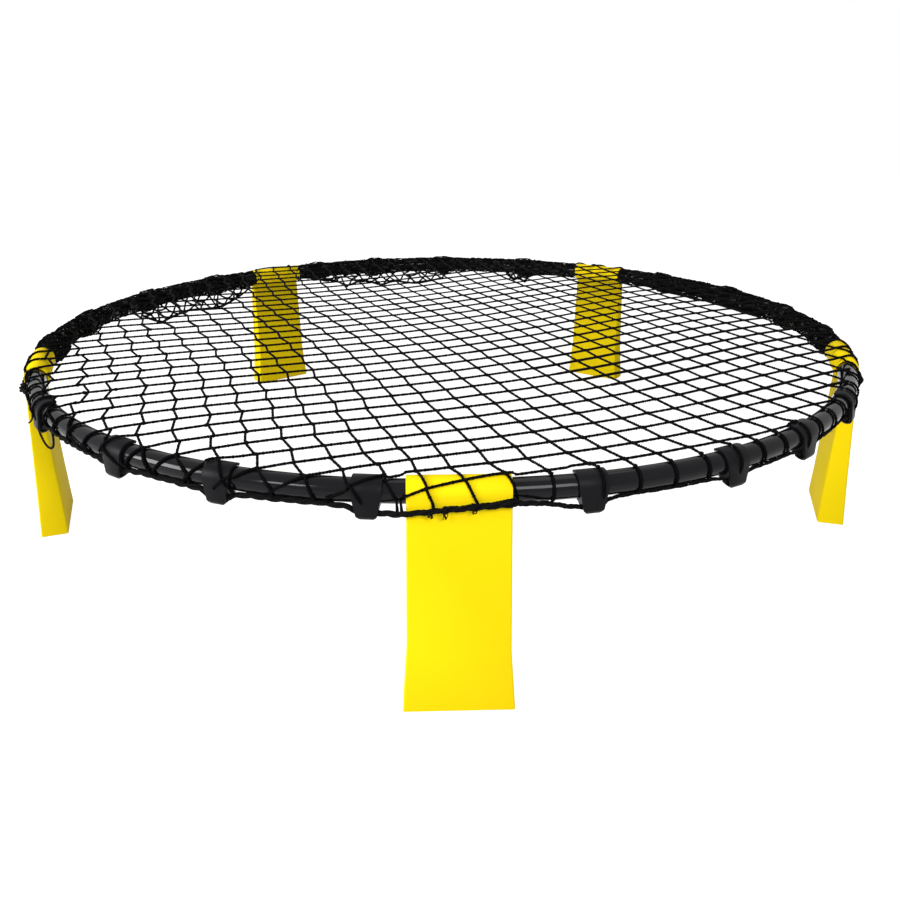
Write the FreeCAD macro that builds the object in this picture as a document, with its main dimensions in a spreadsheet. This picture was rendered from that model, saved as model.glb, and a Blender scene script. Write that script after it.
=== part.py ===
"""Round rebound-net game frame: five rim tubes, five folding legs, clips, rope and net.

Frame: +Z up, origin on the floor under the ring's centre, the front leg towards -Y.
Every size is in millimetres and every angle in degrees.
"""
import FreeCAD
import Part

import math
import os

import Sketcher
from FreeCAD import Placement, Rotation, Vector

# Driving dimensions: alias, value, what it is
SIZES = [
    ("leg_count", 5, "legs, and rim tubes between them"),
    ("ring_reach", 441.0, "ring centre to the tube's centre line, midway between two legs"),
    ("axis_height", 170.0, "floor to the rim tube's centre line"),
    ("straight_half", 16.0, "straight end of a rim tube, from the joint to the bend"),
    ("tube_radius", 9.0, "outer radius of a rim tube"),
    ("tube_wall", 1.5, "wall of a rim tube"),
    ("spigot_length", 15.5, "length of the necked end that enters the next tube"),
    ("spigot_wall", 1.4, "wall of the necked end"),
    ("spigot_clearance", 0.06, "radial play of the necked end in the next tube's bore"),
    ("spigot_root", 6.0, "length over which the neck is formed inside its own tube"),
    ("collar_radius", 11.5, "outer radius of a leg's collar"),
    ("collar_half", 36.5, "half the length of a leg's collar, and half the leg's width there"),
    ("bearing_play", 0.06, "radial running play of the collar on the tube"),
    ("relief_depth", 0.7, "how much wider the collar's ends are bored, for the tube's bend"),
    ("relief_slope", 1.0, "length of the cone between bearing and relief"),
    ("foot_outer", 25.5, "how far the leg's outer face stands out at the floor"),
    ("foot_depth", 26.0, "radial depth of the foot"),
    ("foot_half", 42.0, "half the width of the foot"),
    ("flare_height", 50.0, "floor to where the leg starts to widen to its foot"),
    ("flare_half", 38.3, "half the leg's width where it starts to widen"),
    ("leg_inner_top", 1.0, "how far outward the leg's inner face lies at the collar"),
    ("leg_edge_cut", 1.0, "cut of the leg's four upright edges"),
    ("clip_width", 22.0, "width of a net clip along the tube"),
    ("clip_tip_width", 15.0, "width of a clip at its lower end"),
    ("clip_tip_round", 3.5, "corner cut at a clip's lower end"),
    ("clip_taper_start", 1.5, "height above the tube's centre line where a clip starts to narrow"),
    ("clip_gap", 0.3, "play of a clip on its bent tube"),
    ("clip_band", 2.2, "thickness of a clip's band"),
    ("clip_mouth_top", 122.0, "angle from outward, over the top, where the band starts"),
    ("clip_mouth_low", 206.0, "angle from outward, over the top, where the band ends"),
    ("rope_radius", 2.5, "radius of the net's border rope"),
    ("rope_play", 0.45, "play of the rope in a clip's channel"),
    ("lobe_wall", 1.7, "wall round a clip's rope channel"),
    ("lobe_proud", 1.2, "how far a clip's lobe stands out past its band"),
    ("rope_drop", 13.6, "how far the rope lies under the tube's centre line in a clip"),
    ("rope_hug", 0.6, "least gap between rope and tube halfway between two clips"),
    ("rope_hug_angle", 36.0, "angle under outward at which the rope hugs the tube"),
    ("rope_over_leg_gap", 0.35, "gap between the rope and a leg's outer face"),
    ("rope_over_leg_side", 40.5, "half the rope's run across a leg, to where it turns in"),
    ("rope_clear_of_clip", 2.5, "straight rope left on each side of a clip"),
    ("rope_short_bend", 3.6, "most rope on each side of a corner by a leg or clip that bends"),
    ("rope_bend", 8.0, "most rope on each side of any other corner that bends"),
    ("rope_end_gap", 0.4, "gap between the rope's two ends"),
    ("net_gap", 0.3, "gap between the collars and the net that lies over them"),
    ("net_thick", 2.2, "thickness of the net's cords"),
    ("net_overlap", 5.0, "how far the net's edge lies past the tube joints' centres"),
    ("net_border", 9.0, "width of the net's solid edge on the tubes"),
    ("mesh_pitch", 47.5, "distance between two parallel cords of the net"),
    ("cord_width", 2.6, "width of one cord of the net"),
    ("mesh_angle_one", 23.6, "direction of the first set of cords"),
    ("mesh_angle_two", 107.0, "direction of the second set of cords"),
]

# Clips on each rim tube, as shares of the way from one leg to the next
CLIP_SHARES = [
    (0.168, 0.385, 0.546, 0.740),
    (0.180, 0.370, 0.583, 0.800),
    (0.235, 0.480, 0.690, 0.870),
    (0.190, 0.410, 0.650, 0.856),
    (0.257, 0.507, 0.688, 0.886),
]

# Height of the rope over each leg, relative to the tube's centre line: before and after it
ROPE_OVER_LEGS = [(-10.0, -3.0), (-8.0, -8.0), (-6.0, -6.0), (-6.0, -6.0), (-9.0, -9.0)]

doc = FreeCAD.newDocument("RoundNetFrame")


def make_sheet():
    """Spreadsheet with one aliased cell for each driving dimension."""
    sheet = doc.addObject("Spreadsheet::Sheet", "Sizes")
    for row, (alias, value, note) in enumerate(SIZES, start=1):
        sheet.set(f"A{row}", alias)
        sheet.set(f"B{row}", str(value))
        sheet.set(f"C{row}", note)
        sheet.setAlias(f"B{row}", alias)
    doc.recompute()
    return sheet


sizes = make_sheet()

# Worked-out lengths that several pieces share, as expressions of the sheet
SECTION = "(360 / Sizes.leg_count)"
HALF_SECTION = "(180 / Sizes.leg_count)"
BEND_RADIUS = f"(Sizes.ring_reach - Sizes.straight_half / sin({HALF_SECTION} * 1 deg))"
PIVOT_RADIUS = f"({BEND_RADIUS} + Sizes.straight_half / tan({HALF_SECTION} * 1 deg))"
BORE_RADIUS = "(Sizes.tube_radius - Sizes.tube_wall)"
SPIGOT_RADIUS = f"({BORE_RADIUS} - Sizes.spigot_clearance)"
BEARING_RADIUS = "(Sizes.tube_radius + Sizes.bearing_play)"
CLIP_INNER = "(Sizes.tube_radius + Sizes.clip_gap)"
CLIP_OUTER = f"({CLIP_INNER} + Sizes.clip_band)"
CHANNEL_RADIUS = "(Sizes.rope_radius + Sizes.rope_play)"
LOBE_RADIUS = f"({CHANNEL_RADIUS} + Sizes.lobe_wall)"
ROPE_OUT = f"({CLIP_OUTER} + Sizes.lobe_proud - {LOBE_RADIUS})"
NET_REACH = f"({PIVOT_RADIUS} + Sizes.net_overlap)"


def number(expression):
    """Plain number that an expression of the sheet comes to."""
    value = sizes.evalExpression(expression.replace("Sizes.", ""))
    return float(getattr(value, "Value", value))


def tube_frame(section, share):
    """Point on the ring's centre line and the turn of its outward direction.

    share runs from 0 at the section's first leg to 1 at the next, along the real tube:
    straight end, bend, straight end.
    """
    straight = number("Sizes.straight_half")
    bend = number(BEND_RADIUS)
    pivot = number(PIVOT_RADIUS)
    turn = math.radians(number(SECTION))
    total = 2 * straight + bend * turn
    run = share * total
    if run < straight:
        local, angle = Vector(pivot, run, 0), 0.0
    elif run > total - straight:
        angle = turn
        past = run - (total - straight)
        centre = Vector(pivot - bend, straight, 0)
        end = centre + Vector(bend * math.cos(turn), bend * math.sin(turn), 0)
        local = end + Vector(-past * math.sin(turn), past * math.cos(turn), 0)
    else:
        angle = (run - straight) / bend
        centre = Vector(pivot - bend, straight, 0)
        local = centre + Vector(bend * math.cos(angle), bend * math.sin(angle), 0)
    first = leg_azimuth(section)
    spin = Rotation(Vector(0, 0, 1), first)
    point = spin.multVec(local) + Vector(0, 0, number("Sizes.axis_height"))
    return point, first + math.degrees(angle)


def leg_azimuth(index):
    """Direction of a leg seen from above; the first leg is at the front."""
    return -90.0 + index * number(SECTION)


def place(body, point, azimuth):
    """Put a body's own origin at a point of the ring, its X axis pointing outward."""
    body.Placement = Placement(point, Rotation(Vector(0, 0, 1), azimuth))


def new_body(label):
    body = doc.addObject("PartDesign::Body", label)
    body.Label = label
    return body


def origin_feature(body, role):
    return next(item for item in body.Origin.OriginFeatures if item.Role == role)


def new_sketch(body, name, plane, height=None):
    """Sketch on one of the body's own origin planes, lifted by an expression if given."""
    sketch = body.newObject("Sketcher::SketchObject", name)
    sketch.AttachmentSupport = [(origin_feature(body, plane), "")]
    sketch.MapMode = "FlatFace"
    if height is not None:
        sketch.AttachmentOffset = Placement(Vector(0, 0, number(height)), Rotation())
        sketch.setExpression("AttachmentOffset.Base.z", height)
    return sketch


def bind(sketch, kind, refs, expression):
    """Dimension between two references, tied to an expression, its sign kept positive."""
    value = number(expression)
    first, second = refs
    if value < 0:
        first, second = second, first
        expression = f"-({expression})"
    index = sketch.addConstraint(Sketcher.Constraint(kind, *first, *second, abs(value)))
    sketch.setExpression(f"Constraints[{index}]", expression)


def pin(sketch, edge, vertex, across, up):
    """Fix one point of the sketch at coordinates given as expressions."""
    if across == "0":
        sketch.addConstraint(Sketcher.Constraint("PointOnObject", edge, vertex, -2))
    else:
        bind(sketch, "DistanceX", ((-1, 1), (edge, vertex)), across)
    if up == "0":
        sketch.addConstraint(Sketcher.Constraint("PointOnObject", edge, vertex, -1))
    else:
        bind(sketch, "DistanceY", ((-1, 1), (edge, vertex)), up)


def draw_polygon(sketch, corners):
    """Closed outline through corners, each a pair of expressions."""
    base = sketch.GeometryCount
    points = [Vector(number(across), number(up), 0) for across, up in corners]
    count = len(points)
    for index in range(count):
        sketch.addGeometry(Part.LineSegment(points[index], points[(index + 1) % count]), False)
    for index in range(count):
        after = base + (index + 1) % count
        sketch.addConstraint(Sketcher.Constraint("Coincident", base + index, 2, after, 1))
    for index, (across, up) in enumerate(corners):
        pin(sketch, base + index, 1, across, up)


def draw_circle(sketch, radius, across="0", up="0"):
    """Circle with its radius and centre given as expressions."""
    centre = Vector(number(across), number(up), 0)
    index = sketch.addGeometry(Part.Circle(centre, Vector(0, 0, 1), number(radius)), False)
    constraint = sketch.addConstraint(Sketcher.Constraint("Radius", index, number(radius)))
    sketch.setExpression(f"Constraints[{constraint}]", radius)
    pin(sketch, index, 3, across, up)


def extrude(body, kind, name, sketch, length):
    """Pad or pocket to both sides of its sketch, with the whole length as an expression."""
    feature = body.newObject(f"PartDesign::{kind}", name)
    feature.Profile = sketch
    feature.SideType = "Symmetric"
    feature.Length = number(length)
    feature.setExpression("Length", length)
    body.Tip = feature
    doc.recompute()
    return feature


def revolve(body, kind, name, sketch, axis):
    feature = body.newObject(f"PartDesign::{kind}", name)
    feature.Profile = sketch
    feature.ReferenceAxis = (origin_feature(body, axis), [""])
    feature.Angle = 360.0
    body.Tip = feature
    doc.recompute()
    return feature


def make_rim_tube(index):
    """One curved rim tube: straight ends, a bend, and a necked end that enters the last tube."""
    body = new_body(f"rim_tube_{index + 1}")

    path = new_sketch(body, f"TubePath{index}", "XY_Plane")
    turn = math.radians(number(SECTION))
    straight = number("Sizes.straight_half")
    bend = number(BEND_RADIUS)
    centre = Vector(-bend, straight, 0)
    bend_end = centre + Vector(bend * math.cos(turn), bend * math.sin(turn), 0)
    tube_end = bend_end + Vector(-straight * math.sin(turn), straight * math.cos(turn), 0)
    path.addGeometry(Part.LineSegment(Vector(0, 0, 0), Vector(0, straight, 0)), False)
    path.addGeometry(Part.ArcOfCircle(Part.Circle(centre, Vector(0, 0, 1), bend), 0, turn), False)
    path.addGeometry(Part.LineSegment(bend_end, tube_end), False)
    path.addConstraint(Sketcher.Constraint("Coincident", 0, 1, -1, 1))
    path.addConstraint(Sketcher.Constraint("Tangent", 0, 2, 1, 1))
    path.addConstraint(Sketcher.Constraint("Tangent", 1, 2, 2, 1))
    path.addConstraint(Sketcher.Constraint("PointOnObject", 0, 2, -2))
    length = path.addConstraint(Sketcher.Constraint("Distance", 0, straight))
    path.setExpression(f"Constraints[{length}]", "Sizes.straight_half")
    length = path.addConstraint(Sketcher.Constraint("Distance", 2, straight))
    path.setExpression(f"Constraints[{length}]", "Sizes.straight_half")
    radius = path.addConstraint(Sketcher.Constraint("Radius", 1, bend))
    path.setExpression(f"Constraints[{radius}]", BEND_RADIUS)
    rise = f"(Sizes.straight_half + {BEND_RADIUS} * sin({SECTION} * 1 deg)"
    rise += f" + Sizes.straight_half * cos({SECTION} * 1 deg))"
    bind(path, "DistanceY", ((-1, 1), (2, 2)), rise)

    ring = new_sketch(body, f"TubeSection{index}", "XZ_Plane")
    draw_circle(ring, "Sizes.tube_radius")
    draw_circle(ring, BORE_RADIUS)
    pipe = body.newObject("PartDesign::AdditivePipe", f"TubePipe{index}")
    pipe.Profile = ring
    pipe.Spine = (path, ["Edge1", "Edge2", "Edge3"])
    body.Tip = pipe
    doc.recompute()

    neck = new_sketch(body, f"TubeNeck{index}", "XY_Plane")
    inner = f"({SPIGOT_RADIUS} - Sizes.spigot_wall)"
    root = f"({BORE_RADIUS} + Sizes.tube_wall / 2)"
    lead = f"({SPIGOT_RADIUS} - Sizes.spigot_wall / 2)"
    draw_polygon(neck, [
        (inner, "-Sizes.spigot_length"),
        (lead, "-Sizes.spigot_length"),
        (SPIGOT_RADIUS, "-(Sizes.spigot_length - Sizes.spigot_wall / 2)"),
        (SPIGOT_RADIUS, "0"),
        (root, "0"),
        (root, "Sizes.spigot_root / 2"),
        (BORE_RADIUS, "Sizes.spigot_root"),
        (inner, "Sizes.spigot_root / 2"),
    ])
    revolve(body, "Revolution", f"TubeSpigot{index}", neck, "Y_Axis")
    point, azimuth = tube_frame(index, 0.0)
    place(body, point, azimuth)
    return body


def leg_section(body, name, height, outer, inner, half):
    """Cross-section of a leg: a rectangle with cut corners, outward being +X."""
    sketch = new_sketch(body, name, "XY_Plane", height)
    cut = "Sizes.leg_edge_cut"
    draw_polygon(sketch, [
        (f"({outer} - {cut})", f"-{half}"),
        (outer, f"-({half} - {cut})"),
        (outer, f"({half} - {cut})"),
        (f"({outer} - {cut})", half),
        (f"({inner} + {cut})", half),
        (inner, f"({half} - {cut})"),
        (inner, f"-({half} - {cut})"),
        (f"({inner} + {cut})", f"-{half}"),
    ])
    return sketch


def make_leg(index):
    """One moulded leg: a round collar that turns on the tube and a block that widens to its foot."""
    body = new_body(f"leg_{index + 1}")
    floor = "-Sizes.axis_height"
    flare = "-(Sizes.axis_height - Sizes.flare_height)"
    flare_share = "(1 - Sizes.flare_height / Sizes.axis_height)"
    foot_inner = "(Sizes.foot_outer - Sizes.foot_depth)"
    flare_outer = f"(Sizes.collar_radius + (Sizes.foot_outer - Sizes.collar_radius) * {flare_share})"
    flare_inner = f"(Sizes.leg_inner_top + ({foot_inner} - Sizes.leg_inner_top) * {flare_share})"

    top = leg_section(body, f"LegTop{index}", "0", "Sizes.collar_radius", "Sizes.leg_inner_top",
                      "Sizes.collar_half")
    middle = leg_section(body, f"LegFlare{index}", flare, flare_outer, flare_inner,
                         "Sizes.flare_half")
    foot = leg_section(body, f"LegFoot{index}", floor, "Sizes.foot_outer", foot_inner,
                       "Sizes.foot_half")
    loft = body.newObject("PartDesign::AdditiveLoft", f"LegLoft{index}")
    loft.Profile = top
    loft.Sections = [middle, foot]
    loft.Ruled = True
    body.Tip = loft
    doc.recompute()

    rim = new_sketch(body, f"CollarRim{index}", "XZ_Plane")
    draw_circle(rim, "Sizes.collar_radius")
    extrude(body, "Pad", f"Collar{index}", rim, "2 * Sizes.collar_half")

    bore = new_sketch(body, f"CollarBore{index}", "XY_Plane")
    relief = f"({BEARING_RADIUS} + Sizes.relief_depth)"
    end = "(Sizes.foot_half + 1)"
    slope = "(Sizes.straight_half + Sizes.relief_slope)"
    draw_polygon(bore, [
        ("0", f"-{end}"),
        (relief, f"-{end}"),
        (relief, f"-{slope}"),
        (BEARING_RADIUS, "-Sizes.straight_half"),
        (BEARING_RADIUS, "Sizes.straight_half"),
        (relief, slope),
        (relief, end),
        ("0", end),
    ])
    revolve(body, "Groove", f"CollarHollow{index}", bore, "Y_Axis")
    point, azimuth = tube_frame(index, 0.0)
    place(body, point, azimuth)
    return body


def make_clip(section, number_in_section, share):
    """One net clip: a band snapped over the tube and a lobe that holds the border rope."""
    tag = f"{section + 1}_{number_in_section + 1}"
    body = new_body(f"net_clip_{tag}")

    band = new_sketch(body, f"ClipBand{tag}", "XZ_Plane")
    draw_circle(band, CLIP_OUTER)
    extrude(body, "Pad", f"ClipRing{tag}", band, "Sizes.clip_width")

    web = new_sketch(body, f"ClipWeb{tag}", "XZ_Plane")
    draw_polygon(web, [
        ("0", "0"),
        (CLIP_OUTER, "0"),
        (f"({ROPE_OUT} + {LOBE_RADIUS})", "-Sizes.rope_drop"),
        (f"({ROPE_OUT} - {LOBE_RADIUS})", "-Sizes.rope_drop"),
        ("0", f"-({CLIP_OUTER} - Sizes.clip_band / 2)"),
    ])
    extrude(body, "Pad", f"ClipShoulder{tag}", web, "Sizes.clip_width")

    lobe = new_sketch(body, f"ClipLobe{tag}", "XZ_Plane")
    draw_circle(lobe, LOBE_RADIUS, ROPE_OUT, "-Sizes.rope_drop")
    extrude(body, "Pad", f"ClipTongue{tag}", lobe, "Sizes.clip_width")

    seat = new_sketch(body, f"ClipSeat{tag}", "XZ_Plane")
    draw_circle(seat, CLIP_INNER)
    extrude(body, "Pocket", f"ClipBore{tag}", seat, "2 * Sizes.clip_width")

    channel = new_sketch(body, f"ClipChannel{tag}", "XZ_Plane")
    draw_circle(channel, CHANNEL_RADIUS, ROPE_OUT, "-Sizes.rope_drop")
    extrude(body, "Pocket", f"ClipRopeWay{tag}", channel, "2 * Sizes.clip_width")

    mouth = new_sketch(body, f"ClipMouth{tag}", "XZ_Plane")
    reach = f"(3 * {CLIP_OUTER})"
    draw_polygon(mouth, [
        ("0", "0"),
        (f"({reach} * cos(Sizes.clip_mouth_top * 1 deg))", f"({reach} * sin(Sizes.clip_mouth_top * 1 deg))"),
        (f"({reach} * cos(Sizes.clip_mouth_low * 1 deg))", f"({reach} * sin(Sizes.clip_mouth_low * 1 deg))"),
    ])
    extrude(body, "Pocket", f"ClipOpening{tag}", mouth, "2 * Sizes.clip_width")

    sides = new_sketch(body, f"ClipSides{tag}", "YZ_Plane")
    tip = "(Sizes.clip_tip_width / 2)"
    edge = "(Sizes.clip_width / 2)"
    base = f"(Sizes.rope_drop + {LOBE_RADIUS})"
    for sign in ("", "-"):
        draw_polygon(sides, [
            (f"{sign}{edge}", "Sizes.clip_taper_start"),
            (f"{sign}({edge} + 2)", "Sizes.clip_taper_start"),
            (f"{sign}({edge} + 2)", f"-({base} + 2)"),
            (f"{sign}({tip} - Sizes.clip_tip_round)", f"-({base} + 2)"),
            (f"{sign}({tip} - Sizes.clip_tip_round)", f"-{base}"),
            (f"{sign}{tip}", f"-({base} - Sizes.clip_tip_round)"),
        ])
    extrude(body, "Pocket", f"ClipTaper{tag}", sides, f"6 * {CLIP_OUTER}")
    point, azimuth = tube_frame(section, share)
    place(body, point, azimuth)
    return body


def rope_point(section, share, along, out, up):
    """Point beside the tube: along it from a share of the section, outward and up."""
    point, azimuth = tube_frame(section, share)
    turn = Rotation(Vector(0, 0, 1), azimuth)
    return point + turn.multVec(Vector(out, along, up))


def rope_route():
    """Corners of the border rope's way round the ring, each with the most rope that bends there."""
    legs = int(number("Sizes.leg_count"))
    clip_half = number("Sizes.clip_tip_width / 2 + Sizes.rope_clear_of_clip")
    rope_out = number(ROPE_OUT)
    rope_drop = number("Sizes.rope_drop")
    hug = number("Sizes.tube_radius + Sizes.rope_radius + Sizes.rope_hug")
    hug_angle = math.radians(number("Sizes.rope_hug_angle"))
    chord_sag = number("Sizes.clip_width") ** 2 / (2 * number(BEND_RADIUS))
    hug_out = (hug + chord_sag) * math.cos(hug_angle)
    hug_down = (hug + chord_sag) * math.sin(hug_angle)
    leg_out = number("Sizes.collar_radius + Sizes.rope_over_leg_gap + Sizes.rope_radius")
    splay = number("(Sizes.foot_outer - Sizes.collar_radius) / Sizes.axis_height")
    side = number("Sizes.rope_over_leg_side")
    short_bend = number("Sizes.rope_short_bend")
    bend = number("Sizes.rope_bend")
    route = []
    for section in range(legs):
        shares = CLIP_SHARES[section % len(CLIP_SHARES)]
        before, after = ROPE_OVER_LEGS[section % len(ROPE_OVER_LEGS)]
        out = leg_out + splay * max(-before, -after)
        route.append((rope_point(section, 0.0, -side, out, before), short_bend))
        route.append((rope_point(section, 0.0, side, out, after), short_bend))
        for index, share in enumerate(shares):
            if index > 0:
                middle = (shares[index - 1] + share) / 2
                route.append((rope_point(section, middle, 0, hug_out, -hug_down), bend))
            for along in (-clip_half, clip_half):
                point = rope_point(section, share, along, rope_out, -rope_drop)
                route.append((point, short_bend))
    return route


def rounded_path(route, share):
    """Edges through the route's corners and back to its start, each corner a tangent arc."""
    count = len(route)
    edges = []
    radii = []
    arcs = []
    for index in range(count):
        corner, longest = route[index]
        back = route[index - 1][0] - corner
        ahead = route[(index + 1) % count][0] - corner
        cut = min(share * min(back.Length, ahead.Length), longest)
        start = corner + back.normalize() * cut
        end = corner + ahead.normalize() * cut
        turn = math.pi - back.getAngle(ahead)
        radius = cut / math.tan(turn / 2)
        bisector = (back + ahead).normalize()
        middle = corner + bisector * (radius / math.cos(turn / 2) - radius)
        arcs.append((start, middle, end))
        radii.append(radius)
    for index in range(count):
        start, middle, end = arcs[index]
        edges.append(Part.LineSegment(arcs[index - 1][2], start).toShape())
        edges.append(Part.Arc(start, middle, end).toShape())
    return edges, radii


def make_rope():
    """The net's border rope: one tube once round the ring, its two ends close together."""
    edges, radii = rounded_path(rope_route(), 0.45)
    radius = number("Sizes.rope_radius")
    first, last = (vertex.Point for vertex in edges[0].Vertexes)
    ahead = (last - first).normalize()
    middle = (first + last) / 2
    end = middle - ahead * number("Sizes.rope_end_gap")
    open_path = [Part.LineSegment(middle, last).toShape()] + edges[1:]
    open_path.append(Part.LineSegment(first, end).toShape())
    profile = Part.Wire([Part.Circle(middle, ahead, radius).toShape()])
    path = Part.Wire(open_path)
    solid = path.makePipeShell([profile], True, False)
    expected = path.Length * math.pi * radius ** 2
    print(f"rope: length {path.Length:.0f}, smallest radius {min(radii):.1f}, "
          f"volume over expected {solid.Volume / expected:.4f}")
    rope = doc.addObject("Part::Feature", "net_border_rope")
    rope.Label = "net_border_rope"
    rope.Shape = solid
    return rope


def mesh_cell(origin, one, two, pitch_one, pitch_two, half_cord):
    """Face of one gap of the net, drawn in by half a cord on every side."""
    inset_one = half_cord / abs(math.sin(one.getAngle(two)))
    corners = []
    for near, far in ((0, 0), (1, 0), (1, 1), (0, 1)):
        along_one = far * pitch_one + (inset_one if far == 0 else -inset_one)
        along_two = near * pitch_two + (inset_one if near == 0 else -inset_one)
        corners.append(origin + one * along_one + two * along_two)
    return Part.Face(Part.makePolygon(corners + corners[:1]))


def make_net():
    """Flat net: one face with a gap for each mesh, raised to the cords' thickness."""
    reach = number(NET_REACH)
    inner = number(f"{NET_REACH} - Sizes.net_border")
    pitch = number("Sizes.mesh_pitch")
    half_cord = number("Sizes.cord_width / 2")
    angle_one = math.radians(number("Sizes.mesh_angle_one"))
    angle_two = math.radians(number("Sizes.mesh_angle_two"))
    base = number("Sizes.axis_height + Sizes.collar_radius + Sizes.net_gap")
    one = Vector(math.cos(angle_one), math.sin(angle_one), 0)
    two = Vector(math.cos(angle_two), math.sin(angle_two), 0)
    step = pitch / math.sin(angle_two - angle_one)
    smallest = pitch * pitch / 12
    field = Part.Face(Part.Wire([Part.Circle(Vector(0, 0, 0), Vector(0, 0, 1), inner).toShape()]))
    span = int(reach / pitch) + 2
    gaps = []
    for row in range(-span, span):
        for column in range(-span, span):
            origin = one * (row * step) + two * (column * step)
            centre = origin + (one + two) * (step / 2)
            if centre.Length > inner + pitch:
                continue
            cell = mesh_cell(origin, one, two, step, step, half_cord)
            furthest = max(vertex.Point.Length for vertex in cell.Vertexes)
            if furthest > inner:
                pieces = [face for face in cell.common(field).Faces if face.Area > smallest]
            else:
                pieces = [cell]
            gaps.extend(pieces)
    edge = Part.Wire([Part.Circle(Vector(0, 0, 0), Vector(0, 0, 1), reach).toShape()])
    holes = []
    for gap in gaps:
        hole = gap.OuterWire
        hole.reverse()
        holes.append(hole)
    face = Part.Face([edge] + holes)
    face.validate()
    print(f"net: {len(gaps)} gaps, face area {face.Area:.0f}")
    net = doc.addObject("Part::Feature", "net")
    net.Label = "net"
    net.Shape = face.extrude(Vector(0, 0, number("Sizes.net_thick")))
    net.Placement = Placement(Vector(0, 0, base), Rotation())
    return net


def check(nodes):
    """Stop before anything is written if a feature or a shape failed."""
    for item in doc.Objects:
        broken = [word for word in item.State if word in ("Invalid", "Error")]
        if broken:
            raise RuntimeError(f"{item.Name} failed: {broken}")
    for node in nodes:
        shape = node.Shape
        if shape.isNull() or not shape.isValid() or len(shape.Solids) != 1:
            raise RuntimeError(f"{node.Label} is not one valid solid")


def main():
    legs = int(number("Sizes.leg_count"))
    nodes = [make_rim_tube(index) for index in range(legs)]
    nodes += [make_leg(index) for index in range(legs)]
    for section in range(legs):
        shares = CLIP_SHARES[section % len(CLIP_SHARES)]
        nodes += [make_clip(section, index, share) for index, share in enumerate(shares)]
    nodes.append(make_rope())
    nodes.append(make_net())
    doc.recompute()
    check(nodes)
    os.makedirs("parts", exist_ok=True)
    for node in nodes:
        node.Shape.exportStep(f"parts/{node.Label}.step")
    print(f"{len(nodes)} nodes written")


main()
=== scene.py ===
"""Round rebound net on a folding frame: the looks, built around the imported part.

Every length is in metres, in the part's own frame: +Z up, the front leg towards -Y.
"""
import logging
import math
import random
from dataclasses import dataclass
from enum import IntEnum

import bmesh
import bpy
from mathutils import Matrix, Vector

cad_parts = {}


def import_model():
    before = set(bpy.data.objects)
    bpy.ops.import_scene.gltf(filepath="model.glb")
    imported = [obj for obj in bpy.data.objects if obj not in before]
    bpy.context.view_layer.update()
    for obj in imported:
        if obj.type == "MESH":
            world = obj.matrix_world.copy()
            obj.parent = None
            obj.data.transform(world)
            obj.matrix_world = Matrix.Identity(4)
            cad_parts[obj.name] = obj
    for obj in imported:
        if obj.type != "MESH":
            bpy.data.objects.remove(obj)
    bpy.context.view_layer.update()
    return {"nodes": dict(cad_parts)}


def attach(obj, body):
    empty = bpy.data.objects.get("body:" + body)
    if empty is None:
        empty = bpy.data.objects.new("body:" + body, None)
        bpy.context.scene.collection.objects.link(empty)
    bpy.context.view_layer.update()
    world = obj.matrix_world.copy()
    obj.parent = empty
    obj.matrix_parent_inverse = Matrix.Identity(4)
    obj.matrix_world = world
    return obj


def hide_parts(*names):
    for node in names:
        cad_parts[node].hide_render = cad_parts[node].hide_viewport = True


LOG = logging.getLogger("net_frame")

Run = list[Vector]

WHITE = (1, 1, 1, 1)
BLOTCH_HEIGHT = 0.35
SPLINE_POINTS = 10
BOW_STEPS = 6
LEG_ROUNDING = 0.0007
CLIP_ROUNDING = 0.0005


class Leg(IntEnum):
    """The five legs, in their order round the ring; a tube is named by the leg it starts at."""

    FRONT = 0
    RIGHT = 1
    BACK_RIGHT = 2
    BACK_LEFT = 3
    LEFT = 4


def smooth(edge_low: float, edge_high: float, value: float) -> float:
    """Ease from 0 at the low edge to 1 at the high one."""
    share = min(1.0, max(0.0, (value - edge_low) / (edge_high - edge_low)))
    return share * share * (3 - 2 * share)


def wrapped(angle: float) -> float:
    """The same angle, between minus and plus half a turn."""
    return (angle + math.pi) % (2 * math.pi) - math.pi


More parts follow.
